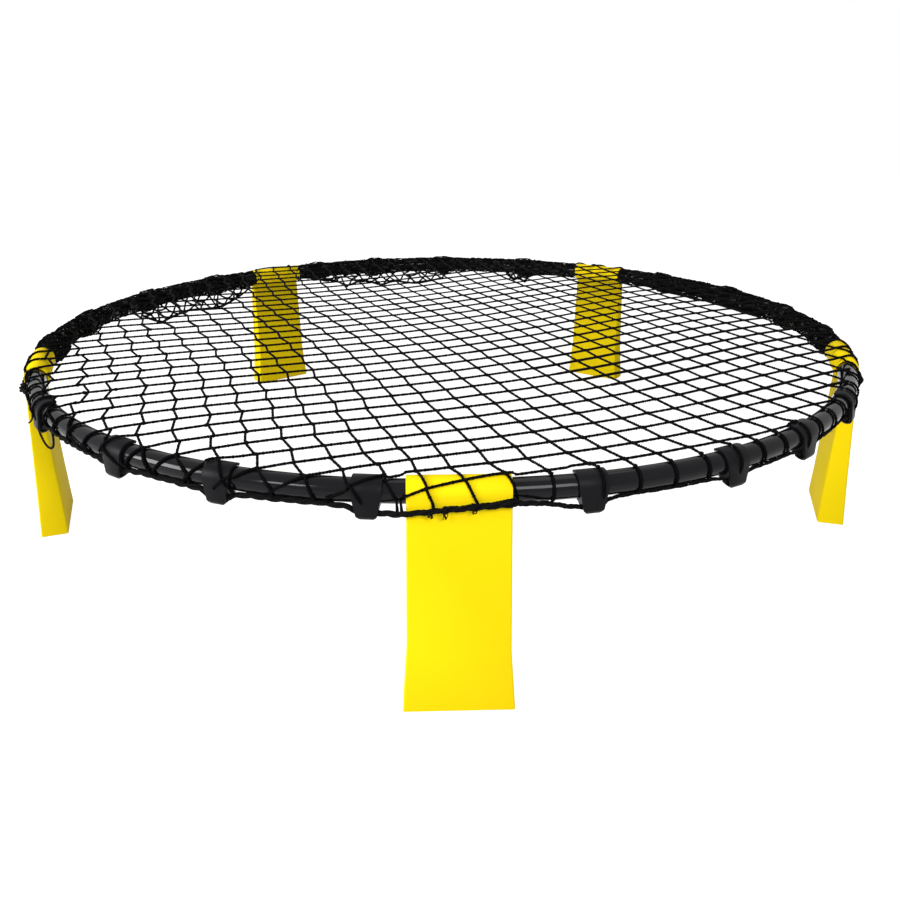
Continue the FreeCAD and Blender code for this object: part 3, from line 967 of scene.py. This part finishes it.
    def crossing(self, first: int, second: int) -> Vector:
        """Find where two cords cross in the flat net.

        Args:
            first: number of the flat cord.
            second: number of the steep cord.

        Returns:
            The crossing.
        """
        point = Vector((0.0, 0.0))
        for _ in range(self.search_rounds):
            a, ax, ay = self.flat_cords.level(point.x, point.y)
            b, bx, by = self.steep_cords.level(point.x, point.y)
            miss_a, miss_b = first - a, second - b
            scale = ax * by - ay * bx
            if abs(scale) < 1:
                break
            move = Vector(((by * miss_a - ay * miss_b) / scale, (ax * miss_b - bx * miss_a) / scale))
            if move.length > self.longest_move:
                move = move.normalized() * self.longest_move
            point += move
            if move.length < self.small_enough:
                break
        return point

    def slip(self, spot: Vector) -> float:
        """How far the short steep cords stray sideways: most at the far left.

        Args:
            spot: place in the flat net.

        Returns:
            The largest stray there.
        """
        far_left = smooth(*self.far_left, -spot.x) * smooth(*self.far_left_front, -spot.y)
        front_left = smooth(*self.front, -spot.y) * smooth(*self.front_left, -spot.x)
        return self.slip_least + self.slip_far_left * far_left + self.slip_front_left * front_left

    def zigzag(self, spot: Vector, row: int) -> Vector:
        """How far a knot is pulled along its flat cord: to one side in odd rows, to the other in even ones.

        Args:
            spot: the knot's place in the flat net.
            row: number of its flat cord.

        Returns:
            The move.
        """
        _, across_x, across_y = self.flat_cords.level(spot.x, spot.y)
        along = Vector((across_y, -across_x)).normalized()
        pull = self.zigzag_least + self.zigzag_left * smooth(*self.left, -spot.x)
        pull += self.zigzag_far_left * smooth(*self.leftmost, -spot.x)
        return along * (pull if row % 2 else -pull)

    def drag(self, spot: Vector) -> Vector:
        """How far a knot near the front rim is pulled along it: right at the front left, left at the collar.

        Args:
            spot: the knot's place in the flat net.

        Returns:
            The move.
        """
        azimuth = math.atan2(spot.y, spot.x)
        from_front = wrapped(azimuth - self.plan.first_leg)
        to_right = smooth(*self.right_from, from_front) * (1 - smooth(*self.right_to, from_front))
        to_left = smooth(*self.left_from, from_front) * (1 - smooth(*self.left_to, from_front))
        near = smooth(-self.drag_run, 0.0, self.past_tube(spot))
        pull = near * (self.drag_right * to_right - self.drag_left * to_left)
        return Vector((-math.sin(azimuth), math.cos(azimuth))) * pull

    def build(self, rope: Run) -> list[bpy.types.Object]:
        """Make the net's cords and knots.

        Args:
            rope: even points along the border rope, which the cords end at.

        Returns:
            The pieces.
        """
        rope_by_azimuth = sorted((math.atan2(point.y, point.x), point) for point in rope[::2])
        chance = random.Random(self.seed)
        nodes: dict[tuple[int, int], Vector] = {}
        numbers = range(-self.span, self.span + 1)
        for i in numbers:
            for j in numbers:
                point = self.crossing(i, j)
                if point.length < self.cut_from:
                    stray = self.stray_least + self.stray_by_slip * self.slip(point)
                    astray = Vector((chance.uniform(-stray, stray), chance.uniform(-stray, stray)))
                    nodes[i, j] = point + self.zigzag(point, i) + self.drag(point) + astray
        steep = Weaver("net_cords_two", self.cord_width, self.cord_thickness, self.lay)
        for j in numbers:
            for run in self._laid(self._steep_line(nodes, j, chance), True):
                steep.add(self._tie(run, rope_by_azimuth))
        flat = Weaver("net_cords_one", self.cord_width, self.cord_thickness, self.lay)
        for i in numbers:
            line = [nodes[i, j] for j in numbers if (i, j) in nodes]
            for run in self._laid(line, False):
                flat.add(self._tie(run, rope_by_azimuth))
        return [flat.finish(), steep.finish(), self._knots(nodes, chance)]

    def _steep_line(
            self, nodes: dict[tuple[int, int], Vector], j: int, chance: random.Random) -> list[Vector]:
        """Lead one steep cord, each of its short lengths slipped a little sideways.

        Args:
            nodes: the knots by flat and steep cord.
            j: number of the steep cord.
            chance: source of the slips.

        Returns:
            The cord's corners in the flat net.
        """
        line = []
        for i in range(-self.span, self.span):
            if (i, j) not in nodes or (i + 1, j) not in nodes:
                continue
            low, high = nodes[i, j], nodes[i + 1, j]
            aside = (high - low).orthogonal().normalized()
            shift = aside * self.slip((low + high) / 2) * chance.uniform(-1, 1)
            line.append(low + shift)
            line.append(high + shift)
        return line

    def _laid(self, line: list[Vector], wraps_tight: bool) -> list[Run]:
        """Parts of one cord that lie on the net or the tubes.

        Args:
            line: corners of the cord in the flat net.
            wraps_tight: whether the cord goes straight down over the tube at the right front.

        Returns:
            The parts, each in even steps.
        """
        if len(line) < 2:
            return []
        flat = resample([Vector((point.x, point.y, 0)) for point in line], self.step)
        groups: list[Run] = [[]]
        for point in flat:
            if self.past_tube(point) <= self.wrap_angle * self.swell(math.atan2(point.y, point.x)):
                groups[-1].append(point)
            elif groups[-1]:
                groups.append([])
        return [run for group in groups for run in self._lay_group(group, wraps_tight) if len(run) > 3]

    def _lay_group(self, group: Run, wraps_tight: bool) -> list[Run]:
        """Lay one unbroken part of a cord, its two ends by how the net is held there.

        Args:
            group: the part's points in the flat net.
            wraps_tight: whether the cord goes straight down over the tube at the right front.

        Returns:
            The laid parts.
        """
        inside = [index for index, point in enumerate(group) if self.past_tube(point) <= 0]
        if not inside:
            if group and self._is_tight(group[0]):
                return []
            return [[self.drape(point)[0] for point in group]]
        body = group[inside[0]:inside[-1] + 1]
        head = self._end(body, group[:inside[0]][::-1], False, wraps_tight)
        tail = self._end(body, group[inside[-1] + 1:], True, wraps_tight)
        return [head[::-1] + [self.drape(point)[0] for point in body] + tail]

    def _is_tight(self, point: Vector) -> bool:
        """Whether the net is pulled straight down over the tube here."""
        return self.tight_from < math.atan2(point.y, point.x) < self.tight_to

    def _end(self, body: Run, beyond: Run, at_tail: bool, wraps_tight: bool) -> Run:
        """Part of a cord past the tube's centre line, outward from the body's end.

        Args:
            body: the cord's part inside the ring, changed where its end is drawn to a wrap.
            beyond: the flat net's points past the tube, nearest first.
            at_tail: whether this is the body's last end, not its first.
            wraps_tight: whether the cord goes straight down over the tube at the right front.

        Returns:
            The laid points.
        """
        edge = (body[-1] if at_tail else body[0]).copy()
        if not beyond or not self._is_tight(edge):
            return [self.drape(point)[0] for point in beyond]
        if wraps_tight:
            self.wraps.append(edge)
            azimuth = math.atan2(edge.y, edge.x)
            count = int(self.wrap_angle * self.swell(azimuth) / self.step)
            return [self.over_tube(azimuth, self.wrap_angle * (index + 1) / count) for index in range(count)]
        target = min(self.wraps, key=lambda spot: (spot - edge).length, default=edge)
        move = target - edge
        if move.length < self.gather:
            for point in body:
                point += move * (1 - smooth(0.0, self.gather_run, (point - edge).length))
        return []

    def _tie(self, run: Run, rope: list[tuple[float, Vector]]) -> Run:
        """Lead both ends of a run into the border rope.

        Args:
            run: a laid part of a cord.
            rope: points of the rope, each with its azimuth.

        Returns:
            The part with the ends that reach the rope.
        """
        ends = []
        for end in (run[0], run[-1]):
            azimuth = math.atan2(end.y, end.x)
            target = min(rope, key=lambda item: abs(wrapped(item[0] - azimuth)))[1]
            ends.append(target)
        low_enough = self.plan.axis_height + self.tie_below
        if run[0].z < low_enough and (run[0] - ends[0]).length < self.tie_reach:
            run = [ends[0]] + run
        if run[-1].z < low_enough and (run[-1] - ends[1]).length < self.tie_reach:
            run = run + [ends[1]]
        return run

    def _knots(self, nodes: dict[tuple[int, int], Vector], chance: random.Random) -> bpy.types.Object:
        """Tie one small lump of wound cord on every crossing and tight wrap.

        Args:
            nodes: the knots' places in the flat net.
            chance: source of their sizes and turns.

        Returns:
            The piece.
        """
        shape = bmesh.new()
        spots = [
            spot for spot in nodes.values()
            if not (self._is_tight(spot) and self.past_tube(spot) > -self.knot_clear)
        ]
        for spot in spots + self.wraps:
            place, angle = self.drape(spot)
            if angle > self.wrap_angle:
                continue
            size = self.knot_radius * chance.uniform(*self.knot_sizes)
            turn = Matrix.Rotation(chance.uniform(0, math.pi), 4, "Z")
            stretch = Matrix.Diagonal((*(size * share for share in self.knot_stretch), 1))
            bmesh.ops.create_icosphere(
                shape, subdivisions=1, radius=1.0, matrix=Matrix.Translation(place) @ turn @ stretch)
        knots = new_object("net_knots", shape)
        shade_smooth(knots)
        return knots


@dataclass
class LooseEnds:
    """Knots and frayed ends on the border rope, and the loop that hangs by the left leg."""

    plan: RingPlan
    rope: BorderRope
    cord: float = 0.0018
    fibre: float = 0.0007
    flatness: float = 0.8
    lay: float = 0.008
    knot_turns: int = 4
    turn_corners: int = 12
    turn_sizes: tuple[float, float] = (0.66, 0.86)
    turn_lean: float = 0.0012
    turn_shift: float = 0.0011
    tuft_fibres: int = 9
    tuft_half: float = 0.0015
    tuft_low: float = 0.001
    tuft_spread: float = 0.45
    tuft_lengths: tuple[float, float] = (0.6, 1.0)
    tuft_out: float = 0.0012
    tuft_curl: float = 0.001
    step: float = 0.0022
    seed: int = 31
    knot_spots: tuple[tuple[Leg, float], ...] = (
        (Leg.FRONT, -0.0088),
        (Leg.FRONT, 0.0105),
        (Leg.FRONT, 0.0340),
        (Leg.LEFT, -0.0150),
        (Leg.RIGHT, 0.0100),
    )
    tuft_spots: tuple[tuple[Leg, float, float], ...] = (
        (Leg.FRONT, -0.0100, 0.0052),
        (Leg.FRONT, -0.0200, 0.0032),
        (Leg.FRONT, 0.0100, 0.0032),
    )

    def build(self) -> bpy.types.Object:
        """Make the knots, the tufts and the loose loop.

        Returns:
            All of them as one piece.
        """
        chance = random.Random(self.seed)
        weaver = Weaver("border_knots", self.cord, self.cord * self.flatness, self.lay)
        for leg, along in self.knot_spots:
            self._knot(weaver, leg, along, chance)
        for leg, along, length in self.tuft_spots:
            self._tuft(weaver, leg, along, length, chance)
        self._left_loop(weaver)
        return weaver.finish()

    def _on_rope(self, leg: Leg, along: float) -> tuple[Vector, Matrix]:
        """Find a point on the rope over a leg.

        Args:
            leg: the leg.
            along: distance along the ring from the leg's middle.

        Returns:
            The point, and the axes outward, along the ring and up there.
        """
        before, after = self.rope.over_legs[leg]
        share = (along + self.rope.leg_run) / (2 * self.rope.leg_run)
        up = before + (after - before) * share
        out = self.rope.leg_out + self.rope.leg_splay * max(-before, -after)
        point = self.plan.beside_tube(leg, 0.0, along, out, up)
        axes = Matrix.Rotation(self.plan.leg_azimuth(leg), 3, "Z")
        return point, axes

    def _knot(self, weaver: Weaver, leg: Leg, along: float, chance: random.Random) -> None:
        """Wind a few turns of cord round the rope.

        Args:
            weaver: piece that the turns join.
            leg: the leg that they lie over.
            along: distance along the ring from the leg's middle.
            chance: source of the turns' sizes.
        """
        point, axes = self._on_rope(leg, along)
        for _ in range(self.knot_turns):
            radius = self.rope.strand_width * chance.uniform(*self.turn_sizes)
            lean = chance.uniform(-self.turn_lean, self.turn_lean)
            shift = chance.uniform(-self.turn_shift, self.turn_shift)
            turn = []
            for corner in range(self.turn_corners):
                angle = 2 * math.pi * corner / self.turn_corners
                aside = shift + lean * math.sin(angle)
                local = Vector((radius * math.cos(angle), aside, radius * math.sin(angle)))
                turn.append(point + axes @ local)
            weaver.add(turn, closed=True)

    def _tuft(self, weaver: Weaver, leg: Leg, along: float, length: float, chance: random.Random) -> None:
        """Hang frayed fibres from the rope.

        Args:
            weaver: piece that the fibres join.
            leg: the leg that they hang over.
            along: distance along the ring from the leg's middle.
            length: length of the longest fibre.
            chance: source of the fibres' directions.
        """
        point, axes = self._on_rope(leg, along)
        thin = self.fibre / self.cord
        for _ in range(self.tuft_fibres):
            start = Vector((self.tuft_half, chance.uniform(-self.tuft_half, self.tuft_half), -self.tuft_low))
            spread = chance.uniform(-self.tuft_spread, self.tuft_spread)
            reach = length * chance.uniform(*self.tuft_lengths)
            end = start + Vector((self.tuft_out, reach * math.sin(spread), -reach * math.cos(spread)))
            curl = chance.uniform(-self.tuft_curl, self.tuft_curl)
            middle = (start + end) / 2 + Vector((self.tuft_out, curl, 0))
            bow = smooth_bow(start, middle, end)
            weaver.add([point + axes @ local for local in bow], girth=thin)

    def _left_loop(self, weaver: Weaver) -> None:
        """Hang the loose cord in front of the left leg.

        Args:
            weaver: piece that the cord joins.
        """
        loop = (
            (0.160, 0.0095, -0.008),
            (0.184, 0.0080, -0.019),
            (0.214, 0.0075, -0.029),
            (0.250, 0.0070, -0.034),
            (0.284, 0.0060, -0.031),
            (0.304, 0.0060, -0.020),
            (0.312, 0.0070, -0.010),
        )
        stray = ((0.170, 0.0080, -0.016), (0.180, 0.0105, -0.023), (0.174, 0.0135, -0.024))
        for run, girth in ((loop, 1.3), (stray, 1.0)):
            corners = [self.plan.beside_tube(Leg.LEFT, share, 0, out, up) for share, out, up in run]
            weaver.add(resample(smooth_line(corners, SPLINE_POINTS), self.step), girth=girth)


@dataclass
class GatheredNet:
    """Net that is bunched round the back tubes, with slack hanging from it."""

    plan: RingPlan
    ring_step: float = 0.0058
    low_reach: float = 0.0101
    high_reach: float = 0.0112
    cord_width: float = 0.0021
    flatness: float = 0.75
    slack_width: float = 1.5
    slack_thickness: float = 1.2
    lay: float = 0.008
    leg_margin: float = 0.040
    loop_corners: int = 16
    loop_slant: tuple[float, float] = (0.004, 0.016)
    loop_lump: float = 0.0007
    loop_on_clip: float = 0.6
    long_strands: int = 14
    long_steps: int = 90
    long_wave: tuple[float, float] = (0.25, 0.5)
    long_turn: float = 0.9
    long_stray: float = 0.12
    long_lift: float = 0.0009
    swags: tuple[tuple[Leg, float, float, float], ...] = (
        (Leg.BACK_LEFT, 0.095, 0.46, 0.030),
        (Leg.BACK_LEFT, 0.80, 0.90, 0.010),
        (Leg.BACK_RIGHT, 0.47, 0.86, 0.024),
        (Leg.BACK_RIGHT, 0.20, 0.28, 0.018),
        (Leg.RIGHT, 0.42, 0.85, 0.008),
    )
    tubes: tuple[Leg, ...] = (Leg.RIGHT, Leg.BACK_RIGHT, Leg.BACK_LEFT)
    clip_lump: float = 0.0026
    clip_reach: float = 0.015
    clip_flat: float = 0.4
    slack_pitch: float = 0.021
    slack_rows: int = 3
    slack_least: int = 4
    slack_edge: float = 0.35
    slack_middle: float = 0.65
    slack_depths: tuple[float, float] = (0.60, 1.25)
    slack_stray: float = 0.003
    slack_inside: float = 0.008
    slack_lean: float = 0.35
    slack_below: float = 0.004
    slack_bend: float = 0.001
    slack_step: float = 0.0024
    slack_sag: float = 0.0015
    hem_points: int = 8
    hem_girth: float = 1.3
    seed: int = 23

    def build(self) -> list[bpy.types.Object]:
        """Make the bunched net and the hanging slack.

        Returns:
            The two pieces.
        """
        chance = random.Random(self.seed)
        width = self.cord_width
        sleeve = Weaver("gathered_net", width, width * self.flatness, self.lay)
        for section in self.tubes:
            self._wind(sleeve, section, chance)
        slack = Weaver("slack_net", width * self.slack_width, width * self.slack_thickness, self.lay)
        for section, start, end, drop in self.swags:
            self._hang(slack, section, start, end, drop, chance)
        return [sleeve.finish(), slack.finish()]

    def _lump(self, section: int, share: float) -> float:
        """How much further out the bunched net lies here, because of a clip under it."""
        off = min(abs(share - spot) for spot in self.plan.clip_shares[section]) * self.plan.tube_length
        return self.clip_lump * (1 - smooth(self.clip_flat * self.clip_reach, self.clip_reach, off))

    def _wind(self, weaver: Weaver, section: int, chance: random.Random) -> None:
        """Wind slanting loops round one tube, crossing each other, and loose runs along it.

        Args:
            weaver: piece that the loops and runs join.
            section: the leg that the tube starts at.
            chance: source of their sizes and places.
        """
        length = self.plan.tube_length
        margin = self.leg_margin / length
        count = int(length * (1 - 2 * margin) / self.ring_step)
        for index in range(count):
            share = margin + (1 - 2 * margin) * (index + chance.random()) / count
            slant = chance.choice((-1, 1)) * chance.uniform(*self.loop_slant)
            bump = self._lump(section, share)
            reach = chance.uniform(self.low_reach, self.high_reach) + bump * self.loop_on_clip
            lump = chance.uniform(0.0, self.loop_lump)
            phase = chance.uniform(0, 2 * math.pi)
            loop = []
            for corner in range(self.loop_corners):
                angle = 2 * math.pi * corner / self.loop_corners
                far = reach + lump * math.sin(3 * angle + phase) + bump * max(0.0, -math.sin(angle))
                along = slant * math.sin(angle + phase)
                loop.append(self.plan.beside_tube(
                    section, share, along, far * math.cos(angle), far * math.sin(angle)))
            weaver.add(loop, closed=True)
        for strand in range(self.long_strands):
            angle = 2 * math.pi * strand / self.long_strands
            wave = chance.uniform(*self.long_wave)
            phase = chance.uniform(0, 2 * math.pi)
            run = []
            for index in range(self.long_steps + 1):
                share = margin + (1 - 2 * margin) * index / self.long_steps
                stray = chance.uniform(-self.long_stray, self.long_stray)
                lean = angle + wave * math.sin(phase + index * self.long_turn) + stray
                reach = self.low_reach + chance.uniform(0.0, self.long_lift) + self._lump(section, share)
                run.append(self.plan.beside_tube(
                    section, share, 0, reach * math.cos(lean), reach * math.sin(lean)))
            weaver.add(run)

    def _hang(self, weaver: Weaver, section: int, start: float, end: float, drop: float,
              chance: random.Random) -> None:
        """Hang loose meshes inside and below the tube.

        Args:
            weaver: piece that the meshes join.
            section: the leg that the tube starts at.
            start: share of the tube where the slack starts.
            end: share where it ends.
            drop: how low it hangs.
            chance: source of the meshes' unevenness.
        """
        length = self.plan.tube_length
        columns = max(self.slack_least, int((end - start) * length / self.slack_pitch))
        rows = self.slack_rows
        grid: dict[tuple[int, int], Vector] = {}
        for row in range(rows + 1):
            for column in range(columns + 1):
                across = (column + 0.5 * (row % 2)) / (columns + 0.5)
                share = start + (end - start) * across
                swell = self.slack_edge + self.slack_middle * math.sin(math.pi * across) ** 0.5
                depth = drop * (row / rows) * swell
                depth *= chance.uniform(*self.slack_depths)
                along = chance.uniform(-self.slack_stray, self.slack_stray)
                stray = chance.uniform(-self.slack_stray, self.slack_stray)
                out = -self.slack_inside - self.slack_lean * depth + stray
                up = -self.slack_below - depth
                grid[row, column] = self.plan.beside_tube(section, share, along, out, up)
        for row in range(rows):
            for column in range(columns + 1):
                here = grid[row, column]
                for other in (column, column + (1 if row % 2 else -1)):
                    if (row + 1, other) in grid:
                        there = grid[row + 1, other]
                        middle = (here + there) / 2 + Vector((0, 0, -self.slack_sag))
                        bend = [chance.uniform(-self.slack_bend, self.slack_bend) for _ in range(2)]
                        middle += Vector((*bend, 0))
                        weaver.add(resample(smooth_bow(here, middle, there), self.slack_step))
        hem = [grid[rows, column] for column in range(columns + 1)]
        weaver.add(resample(smooth_line(hem, self.hem_points), self.slack_step), girth=self.hem_girth)


def smooth_bow(start: Vector, middle: Vector, end: Vector) -> Run:
    """Draw a short curved run through three points.

    Args:
        start: first point.
        middle: point halfway.
        end: last point.

    Returns:
        The run.
    """
    bow = []
    for index in range(BOW_STEPS + 1):
        share = index / BOW_STEPS
        pull = 2 * middle - (start + end) / 2
        bow.append((1 - share) ** 2 * start + 2 * share * (1 - share) * pull + share ** 2 * end)
    return bow


def dress(piece: bpy.types.Object, material: bpy.types.Material) -> None:
    """Give a new piece its finish.

    Args:
        piece: the piece.
        material: its material.
    """
    piece.data.materials.clear()
    piece.data.materials.append(material)


def paint(node: bpy.types.Object, material: bpy.types.Material) -> None:
    """Give a carried-over node its finish.

    Args:
        node: the node's object.
        material: its material.
    """
    if not node.material_slots:
        node.data.materials.append(material)
    for place in node.material_slots:
        place.material = material


def main() -> None:
    """Build every piece in order."""
    logging.basicConfig(level=logging.INFO, format="%(message)s")
    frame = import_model()
    bpy.context.scene.view_settings.view_transform = "Standard"

    studio = Studio()
    studio.set_camera()
    studio.lay_floor()
    studio.light()
    LOG.info("camera, floor and lamps are in place")

    surface = surface_group()
    yellow, tube, clip, rope_finish, cord_finish = (
        finish.material(surface) for finish in (YELLOW, TUBE, CLIP, ROPE, CORD))
    leg_softener, clip_softener = Softener(LEG_ROUNDING), Softener(CLIP_ROUNDING)
    for name, node in list(frame["nodes"].items()):
        if name.startswith("rim_tube_"):
            paint(node, tube)
        elif name.startswith("leg_"):
            leg = leg_softener.soften(node, "moulded_" + name)
            dress(leg, yellow)
            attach(leg, name.replace("leg_", "leg_body_"))
            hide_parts(name)
        elif name.startswith("net_clip_"):
            band = clip_softener.soften(node, "moulded_" + name)
            dress(band, clip)
            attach(band, "ring")
            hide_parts(name)
    LOG.info("tubes have their finish; legs and clips have rounded edges")

    plan = RingPlan()
    rope_maker = BorderRope(plan)
    rope_line = rope_maker.line()
    rope = rope_maker.build(rope_line)
    dress(rope, rope_finish)
    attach(rope, "ring")
    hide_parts("net_border_rope")
    LOG.info("border rope: %d faces", len(rope.data.polygons))

    for piece in KnottedNet(plan).build(rope_line):
        dress(piece, cord_finish)
        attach(piece, "ring")
        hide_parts("net")
        LOG.info("%s: %d faces", piece.name, len(piece.data.polygons))

    loose = LooseEnds(plan, rope_maker).build()
    dress(loose, rope_finish)
    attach(loose, "ring")
    LOG.info("%s: %d faces", loose.name, len(loose.data.polygons))

    for piece in GatheredNet(plan).build():
        dress(piece, cord_finish)
        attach(piece, "ring")
        LOG.info("%s: %d faces", piece.name, len(piece.data.polygons))


if __name__ == "__main__":
    main()
